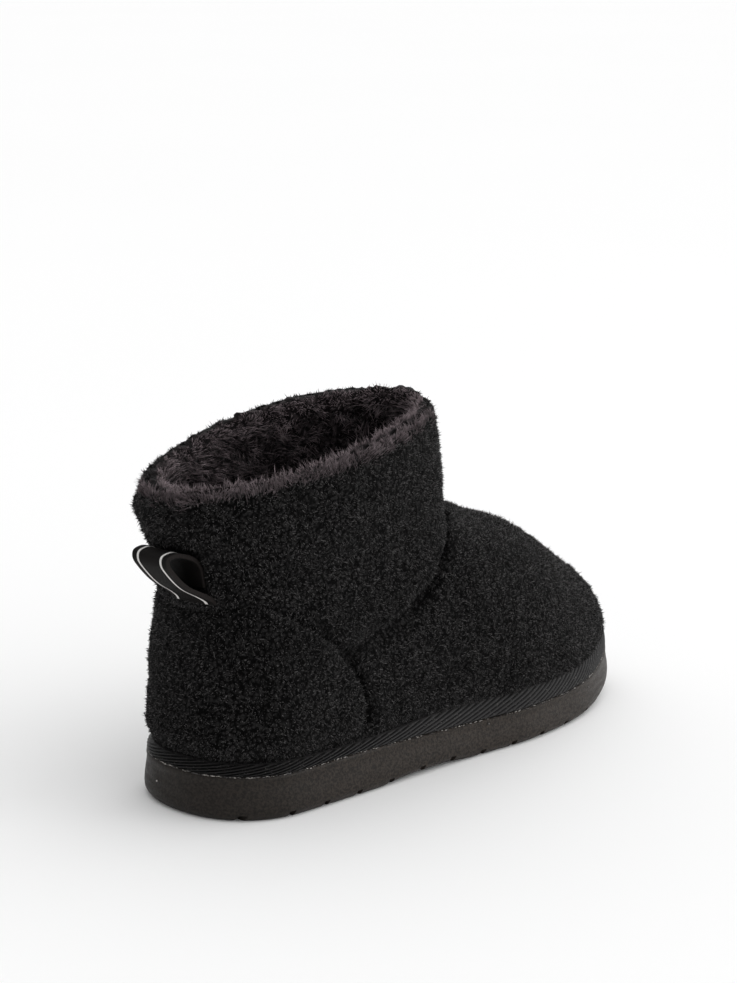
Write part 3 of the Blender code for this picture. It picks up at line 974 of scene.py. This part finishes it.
def band_rings(settings):
    """The band's rings of points, from its foot over its outside to its inside, and the painted light and
    shade of their ribs.
    """
    edge = outline(0.0, BAND_STEPS)
    normal = edge_normals(edge)
    free, rib_along, rib_up = band_run(edge[:, 0])
    rate = np.linalg.norm(np.roll(edge, -1, 0) - edge, axis=1) / rib_along
    phase = np.concatenate([[0], np.cumsum(rate)[:-1]]) * round(rate.sum()) / rate.sum()
    sway = RIB_SWAY * waves(placed(edge, edge[:, 0] * 0), SWAY_LENGTH)
    share = edge[:, 0] / SOLE_LENGTH
    # Painted shade: the ribs grow darker towards the heel and at the toe's tip.
    end_shade = 0.68 + 0.32 * ramp(share, 0.1, 0.4) - 0.22 * ramp(share, 0.82, 1.0)
    rings, rib_shades = [], []
    for out, up, ribbed in zip(*columns(BAND_PROFILE, BAND_ROWS)):
        height = up * settings.height * free
        ridge = (0.5 + 0.5 * np.cos(math.tau * (phase - height / rib_up + sway))) ** RIB_SHARPNESS
        depth = BAND_SEAT + settings.thickness * (1 - out) + settings.depth * ribbed * (1 - ridge)
        ring = edge - normal * depth[:, None]
        rings.append(placed(ring, sole_top(ring[:, 0]) + GAP + height))
        # Painted light and shade: dark in the gaps between ribs, light on their crests, dimmed by the painted
        # shade at the ends.
        rib_shades.append((1 - ribbed * (1 - ridge)) * end_shade)
    return rings, np.concatenate(rib_shades)


def band_material(settings):
    """Dark rubber with painted shade in its rib gaps and at its ends, painted highlights on its ribs' crests,
    dust and pale specks.
    """
    made, nodes, shader, place = new_material("band_rubber", 0.5, 0.12)
    dust = nodes.grain(place, 900.0, 4.0, 0.7)
    specks = nodes.between(nodes.grain(place, 1500.0), 0.62, 0.74)
    # Painted shade in the rib gaps and at the band's ends, painted highlight on the ribs' crests.
    rib_shading = nodes.between(nodes.attribute("rib_shade"), 0.38, 0.90)
    share = nodes.maths("MULTIPLY", rib_shading, nodes.between(dust, 0.2, 0.8, 0.5, 1.0))
    body = nodes.mixed(share, shaded(settings.colour, 0.02), shaded(settings.colour, 1.45))
    nodes.fill(shader.inputs["Base Color"], nodes.mixed(specks, body, (0.09, 0.087, 0.084)))
    nodes.fill(shader.inputs["Roughness"], nodes.between(dust, 0.2, 0.8, 0.38, 0.62))
    nodes.bump(shader, dust, 0.4, 0.0003)
    return made


def glue_mesh(settings):
    """A bmesh of the beads of glue along the sole's top edge and the stray specks on its side."""
    rng = np.random.default_rng(SEED + 2)
    line = outline(SOLE_FLARE + 0.0001, GLUE_STEPS)
    drops = bmesh.new()
    spot = 0
    while spot < len(line) - 4:
        here, after = line[spot], line[spot + 2]
        way = Vector((*(after - here), 0)).normalized()
        across = way.orthogonal().normalized()
        size = rng.uniform(*BEAD_SIZES)
        stretched = size * rng.uniform(*BEAD_STRETCH)
        ball = bmesh.ops.create_icosphere(drops, subdivisions=1, radius=1.0)["verts"]
        z = float(sole_top(here[0])) + rng.normal(0, BEAD_STRAY)
        seat = Matrix.Translation((here[0] + HEEL_X, here[1] + MIDDLE_Y, z))
        turn = Matrix((way, across, way.cross(across))).transposed().to_4x4()
        grown = Matrix.Diagonal((stretched, size, size)).to_4x4()
        bmesh.ops.transform(drops, verts=ball, matrix=seat @ turn @ grown)
        spot += int(rng.uniform(2, 2 * len(line) / settings.beads))
    edge = outline(GAP, BAND_STEPS)
    side = placed(edge, sole_top(edge[:, 0]))
    for x, y, drop in GLUE_SPECKS:
        spot = side[np.argmin(np.hypot(side[:, 0] - x, side[:, 1] - y))] - (0, 0, drop)
        seat = Matrix.Translation(spot)
        bmesh.ops.create_icosphere(drops, subdivisions=1, radius=SPECK_RADIUS, matrix=seat)
    return drops


class SHERPA_OT_band(bpy.types.Operator):
    """Build the ribbed rubber band and the glue that beads along its foot."""

    bl_idname = "sherpa.band"
    bl_label = "Build Ribbed Band"

    def execute(self, context):
        settings = context.scene.sherpa_boot.band
        rings, rib_shades = band_rings(settings)
        work = bmesh.new()
        joined_rings(work, rings, closed=True)
        bmesh.ops.recalc_face_normals(work, faces=work.faces)
        band = object_from(work, "ribbed_band")
        # The ribs' painted light and shade, for the band's material.
        set_attribute(band.data, "rib_shade", rib_shades)
        dress(band, band_material(settings), "ribbed_rubber", "welt_band")

        glue = object_from(glue_mesh(settings), "glue_beads")
        made, nodes, shader, place = new_material("dried_glue", 0.22, 0.5)
        cloud = nodes.between(nodes.grain(place, 300.0), 0.42, 0.62)
        colour = nodes.mixed(cloud, (0.045, 0.043, 0.042), (0.34, 0.32, 0.30))
        nodes.fill(shader.inputs["Base Color"], colour)
        dress(glue, made, "ribbed_rubber")
        return {"FINISHED"}


def foam_block(steps):
    """A bmesh of the sole without its grooves: rings up its side, closed across at both ends."""
    rings = []
    for inset, up in SOLE_PROFILE:
        ring = outline(inset, steps)
        low, high = underside(ring[:, 0]), sole_top(ring[:, 0])
        rings.append(placed(ring, low + (high - low) * up))
    work = bmesh.new()
    rows = joined_rings(work, rings, closed=False)
    for row in (rows[0], rows[-1]):
        last, middle = len(row), len(row) // 2
        for i in range(1, middle - 1):
            work.faces.new((row[i], row[i + 1], row[last - i - 1], row[last - i]))
        work.faces.new((row[0], row[1], row[last - 1]))
        work.faces.new((row[middle - 1], row[middle], row[middle + 1]))
    bmesh.ops.recalc_face_normals(work, faces=work.faces)
    return work


def groove_bars():
    """A bmesh of the bars that cut the cross grooves."""
    bars = bmesh.new()
    count = int(SOLE_LENGTH / LUG_PITCH)
    first = (SOLE_LENGTH - (count - 1) * LUG_PITCH) / 2
    for index in range(count):
        x = first + index * LUG_PITCH
        top = float(underside(x)) + GROOVE_DEPTH
        bar = bmesh.ops.create_cube(bars, size=1)["verts"]
        bmesh.ops.scale(bars, vec=(GROOVE_WIDTH, 2 * SOLE_WIDTH, 2 * top), verts=bar)
        bmesh.ops.translate(bars, vec=(x + HEEL_X, 0, 0), verts=bar)
    return bars


def foam_material(colour):
    """Warm grey foam: fine speckle, smudges, darker to the heel, and paler scuffs along its side."""
    made, nodes, shader, place = new_material("foam_rubber", 0.5, 0.18)
    pores = nodes.grain(place, 1700.0, 3.0, 0.6)
    smudge = nodes.grain(place, 26.0, 4.0, 0.6)
    streaks = nodes.add("ShaderNodeMapping", {"Vector": place, "Scale": (1.0, 1.0, 6.0)}).outputs[0]
    scuff = nodes.grain(streaks, 90.0, 5.0, 0.65)
    speckle = nodes.between(nodes.grain(place, 950.0, 3.0, 0.7), 0.38, 0.62)
    tone = nodes.maths("MULTIPLY_ADD", speckle, 0.70, nodes.maths("MULTIPLY", smudge, 0.30))
    along = nodes.add("ShaderNodeSeparateXYZ", {0: place}).outputs["X"]
    tone = nodes.maths("MULTIPLY", tone, nodes.between(along, -0.125, -0.050, 0.55, 1.0))
    body = nodes.mixed(tone, shaded(colour, 0.20), shaded(colour, 1.90))
    worn = nodes.maths("MULTIPLY", nodes.between(scuff, 0.58, 0.78), 0.30)
    nodes.fill(shader.inputs["Base Color"], nodes.mixed(worn, body, shaded(colour, 2.4)))
    nodes.fill(shader.inputs["Roughness"], nodes.between(scuff, 0.3, 0.7, 0.42, 0.60))
    nodes.bump(shader, nodes.maths("MULTIPLY_ADD", scuff, 0.6, pores), 0.4, 0.0003)
    return made


class SHERPA_OT_sole(bpy.types.Operator):
    """Build the foam sole with its rounded edges and cross grooves."""

    bl_idname = "sherpa.sole"
    bl_label = "Build Foam Sole"

    def execute(self, context):
        settings = context.scene.sherpa_boot.sole
        rough = object_from(foam_block(settings.steps), "sole_rough")
        cutter = object_from(groove_bars(), "groove_bars")
        grooves = rough.modifiers.new("grooves", "BOOLEAN")
        grooves.operation = "DIFFERENCE"
        grooves.solver = "EXACT"
        grooves.object = cutter
        sole = new_object("foam_sole", applied(rough))
        bpy.data.objects.remove(cutter)
        sole.data.set_sharp_from_angle(angle=math.radians(40))
        dress(sole, foam_material(settings.colour), "foam_rubber", "outsole")
        return {"FINISHED"}


def tape_sheet():
    """A bmesh of the loop's folded tape, flat in its thickness, with its run and width as a UV map."""
    skin = BVHTree.FromBMesh(merged("upper"))

    def heel_x(y, z):
        return skin.ray_cast(Vector((-1, y, z)), Vector((1, 0, 0)))[0].x

    work = bmesh.new()
    uv = work.loops.layers.uv.new("tape")
    out, up = columns(LOOP_FOLD, LOOP_STEPS)
    slant = LOOP_SLANT * ramp(np.linspace(0, len(LOOP_FOLD) - 1, LOOP_STEPS), SLANT_TO, 0)
    seat_z = float(sole_top(0)) + LOOP_SEAT
    clear = GAP + LOOP_THICKNESS / 2
    rows = []
    for share_out, share_up, lean in zip(out, up, slant):
        z = seat_z + LOOP_RISE * share_up
        middle_y = MIDDLE_Y - LOOP_ASIDE - lean
        middle_x = heel_x(middle_y, z)
        row = []
        for aside in np.linspace(-LOOP_WIDTH / 2, LOOP_WIDTH / 2, LOOP_ACROSS + 1):
            y = middle_y + aside
            curl = (heel_x(y, z) - middle_x) * (1 - share_out) ** 2
            row.append(work.verts.new((middle_x + curl - clear - LOOP_REACH * share_out, y, z)))
        rows.append(row)
    length = LOOP_RISE * 3
    for j, (low, high) in enumerate(zip(rows, rows[1:])):
        for i in range(LOOP_ACROSS):
            face = work.faces.new((low[i], low[i + 1], high[i + 1], high[i]))
            corners = ((i, j), (i + 1, j), (i + 1, j + 1), (i, j + 1))
            for corner, (a, b) in zip(face.loops, corners):
                corner[uv].uv = ((a / LOOP_ACROSS - 0.5) * LOOP_WIDTH, b / LOOP_STEPS * length)
    return work


def tape_material(settings):
    """Black woven tape with two pale lines on its outer face, painted shade on its inner face, and a lighter
    selvedge.
    """
    made, nodes, shader, _ = new_material("woven_tape", 0.6, 0.05)
    flat = nodes.add("ShaderNodeUVMap", uv_map="tape").outputs[0]
    parts = nodes.add("ShaderNodeSeparateXYZ", {0: flat}).outputs
    warp = nodes.maths("SINE", nodes.maths("MULTIPLY", parts["X"], math.tau / WARP_PITCH))
    weft = nodes.maths("SINE", nodes.maths("MULTIPLY", parts["Y"], math.tau / WEFT_PITCH))
    weave = nodes.maths("MULTIPLY", warp, weft)
    height = nodes.maths("MULTIPLY_ADD", weave, 0.5, nodes.grain(flat, 1600.0, 3.0))
    from_middle = nodes.maths("ABSOLUTE", parts["X"])
    from_line = nodes.maths("ABSOLUTE", nodes.maths("SUBTRACT", from_middle, settings.line_apart / 2))
    half = settings.line / 2
    front = nodes.between(nodes.attribute("back_face"), 0.45, 0.55)
    line = nodes.maths("MULTIPLY", front, nodes.between(from_line, half * 1.15, half * 0.85))
    line_edge = nodes.maths("MULTIPLY", front, nodes.between(from_line, half * 2.3, half * 1.7))
    selvedge = nodes.between(from_middle, LOOP_WIDTH * 0.46, LOOP_WIDTH * 0.50)
    woven = nodes.between(height, 0.1, 1.0)
    body = nodes.mixed(woven, shaded(settings.colour, 0.2), shaded(settings.colour, 0.6))
    # Painted shade: the inner face, turned into the loop's eye, is darker.
    body = nodes.mixed(front, shaded(settings.colour, 0.3), body)
    body = nodes.mixed(selvedge, body, shaded(settings.colour, 0.9))
    body = nodes.mixed(line_edge, body, shaded(settings.colour, 0.15))
    pale = settings.line_colour
    thread = nodes.mixed(nodes.between(height, 0.0, 0.9), shaded(pale, 0.62), tuple(pale))
    nodes.fill(shader.inputs["Base Color"], nodes.mixed(line, body, thread))
    nodes.bump(shader, height, 0.5, 0.00025)
    return made


class SHERPA_OT_loop(bpy.types.Operator):
    """Build the folded woven tape at the heel."""

    bl_idname = "sherpa.loop"
    bl_label = "Build Pull Loop"

    def execute(self, context):
        sheet = object_from(tape_sheet(), "tape_rough")
        tape = sheet.modifiers.new("tape", "SOLIDIFY")
        tape.thickness = LOOP_THICKNESS
        tape.offset = 0
        tape.use_even_offset = True
        sheet.vertex_groups.new(name="back_face")
        tape.shell_vertex_group = "back_face"
        edge = sheet.modifiers.new("edge", "BEVEL")
        edge.width = LOOP_THICKNESS * 0.28
        edge.segments = 3
        edge.limit_method = "ANGLE"
        edge.angle_limit = math.radians(50)
        loop = new_object("woven_loop", applied(sheet))
        dress(loop, tape_material(context.scene.sherpa_boot.loop), "woven_tape", "pull_loop")
        return {"FINISHED"}


def pale_floor(colour):
    """A round floor of pale paper, far wider than the view."""
    work = bmesh.new()
    bmesh.ops.create_circle(work, cap_ends=True, segments=96, radius=FLOOR_RADIUS)
    floor = object_from(work, "floor")
    made, nodes, shader, place = new_material("floor_paper", 0.9, 0.1)
    cloud = nodes.between(nodes.grain(place, 2.0), 0.2, 0.8)
    nodes.fill(shader.inputs["Base Color"], nodes.mixed(cloud, shaded(colour, 0.995), tuple(colour)))
    floor.data.materials.append(made)


def studio_air(settings):
    """A white world that gives more light from its bright side, and looks even to the camera."""
    world = bpy.data.worlds.new("studio_air")
    world.use_nodes = True
    sky = NodeTree(world.node_tree)
    air = world.node_tree.nodes["Background"]
    way = sky.add("ShaderNodeTexCoord").outputs["Generated"]
    toward = sky.add("ShaderNodeVectorMath", {0: way, 1: settings.bright_side}, operation="DOT_PRODUCT")
    seen = sky.add("ShaderNodeLightPath").outputs["Is Camera Ray"]
    lit = sky.maths("MULTIPLY_ADD", toward.outputs["Value"], settings.contrast, 1.0)
    level = sky.maths("MAXIMUM", sky.maths("MAXIMUM", lit, 0.0), seen)
    air.inputs["Color"].default_value = (1.0, 1.0, 1.0, 1.0)
    sky.fill(air.inputs["Strength"], sky.maths("MULTIPLY", level, settings.light))
    return world


def turned_to(item, target):
    """Turn a light or a camera to look at a point, and link it."""
    item.rotation_euler = (Vector(target) - item.location).to_track_quat("-Z", "Y").to_euler()
    bpy.context.scene.collection.objects.link(item)
    return item


def soft_box():
    """A soft square light over the outer side."""
    light = bpy.data.lights.new("soft_box", "AREA")
    light.energy = SOFT_BOX_POWER
    light.size = SOFT_BOX_SIZE
    item = bpy.data.objects.new("soft_box", light)
    item.location = SOFT_BOX_PLACE
    turned_to(item, SOFT_BOX_TARGET)


def photo_camera(settings):
    """A camera at the photo's angle, aimed so that the boot is framed as there."""
    camera = bpy.data.cameras.new("photo_camera")
    camera.lens = settings.lens
    camera.sensor_width = 36.0
    camera.clip_start, camera.clip_end = 0.05, 100
    item = bpy.data.objects.new("photo_camera", camera)
    a, e = settings.azimuth, settings.elevation
    back = Vector((math.sin(a) * math.cos(e), -math.cos(a) * math.cos(e), math.sin(e)))
    right = Vector((math.cos(a), math.sin(a), 0))
    above = back.cross(right)
    item.location = Vector(AIM) + back * settings.distance
    return turned_to(item, Vector(AIM) + settings.distance * (FRAMED_RIGHT * right + FRAMED_UP * above))


class SHERPA_OT_stage(bpy.types.Operator):
    """Set the pale floor, the soft light and the camera."""

    bl_idname = "sherpa.stage"
    bl_label = "Set Studio"

    def execute(self, context):
        settings = context.scene.sherpa_boot.stage
        pale_floor(settings.floor)
        context.scene.world = studio_air(settings)
        context.scene.view_settings.view_transform = "Standard"
        soft_box()
        context.scene.camera = photo_camera(settings)
        return {"FINISHED"}


class BootSettings(bpy.types.PropertyGroup):
    """All sizes and colours of the dressed boot."""

    fleece: PointerProperty(type=FleeceSettings)
    lining: PointerProperty(type=LiningSettings)
    band: PointerProperty(type=BandSettings)
    sole: PointerProperty(type=SoleSettings)
    loop: PointerProperty(type=LoopSettings)
    stage: PointerProperty(type=StageSettings)


class SHERPA_PT_panel(bpy.types.Panel):
    """Sizes, colours and build buttons of the boot."""

    bl_label = "Sherpa Boot"
    bl_idname = "SHERPA_PT_panel"
    bl_space_type = "VIEW_3D"
    bl_region_type = "UI"
    bl_category = "Sherpa Boot"

    def draw(self, context):
        boot = context.scene.sherpa_boot
        for part in ("fleece", "lining", "band", "sole", "loop", "stage"):
            box = self.layout.box()
            box.operator("sherpa." + part)
            group = getattr(boot, part)
            for name in group.__annotations__:
                box.prop(group, name)


CLASSES = (
    FleeceSettings,
    LiningSettings,
    BandSettings,
    SoleSettings,
    LoopSettings,
    StageSettings,
    BootSettings,
    SHERPA_OT_sole,
    SHERPA_OT_band,
    SHERPA_OT_fleece,
    SHERPA_OT_lining,
    SHERPA_OT_loop,
    SHERPA_OT_stage,
    SHERPA_PT_panel,
)


def register():
    """Register the classes and the scene's settings."""
    for item in CLASSES:
        bpy.utils.register_class(item)
    bpy.types.Scene.sherpa_boot = PointerProperty(type=BootSettings)


def unregister():
    """Take the settings and the classes away again."""
    del bpy.types.Scene.sherpa_boot
    for item in reversed(CLASSES):
        bpy.utils.unregister_class(item)


def main():
    """Build every piece."""
    register()
    bpy.ops.sherpa.sole()
    bpy.ops.sherpa.band()
    bpy.ops.sherpa.fleece()
    bpy.ops.sherpa.lining()
    bpy.ops.sherpa.loop()
    bpy.ops.sherpa.stage()


if __name__ == "__main__":
    main()
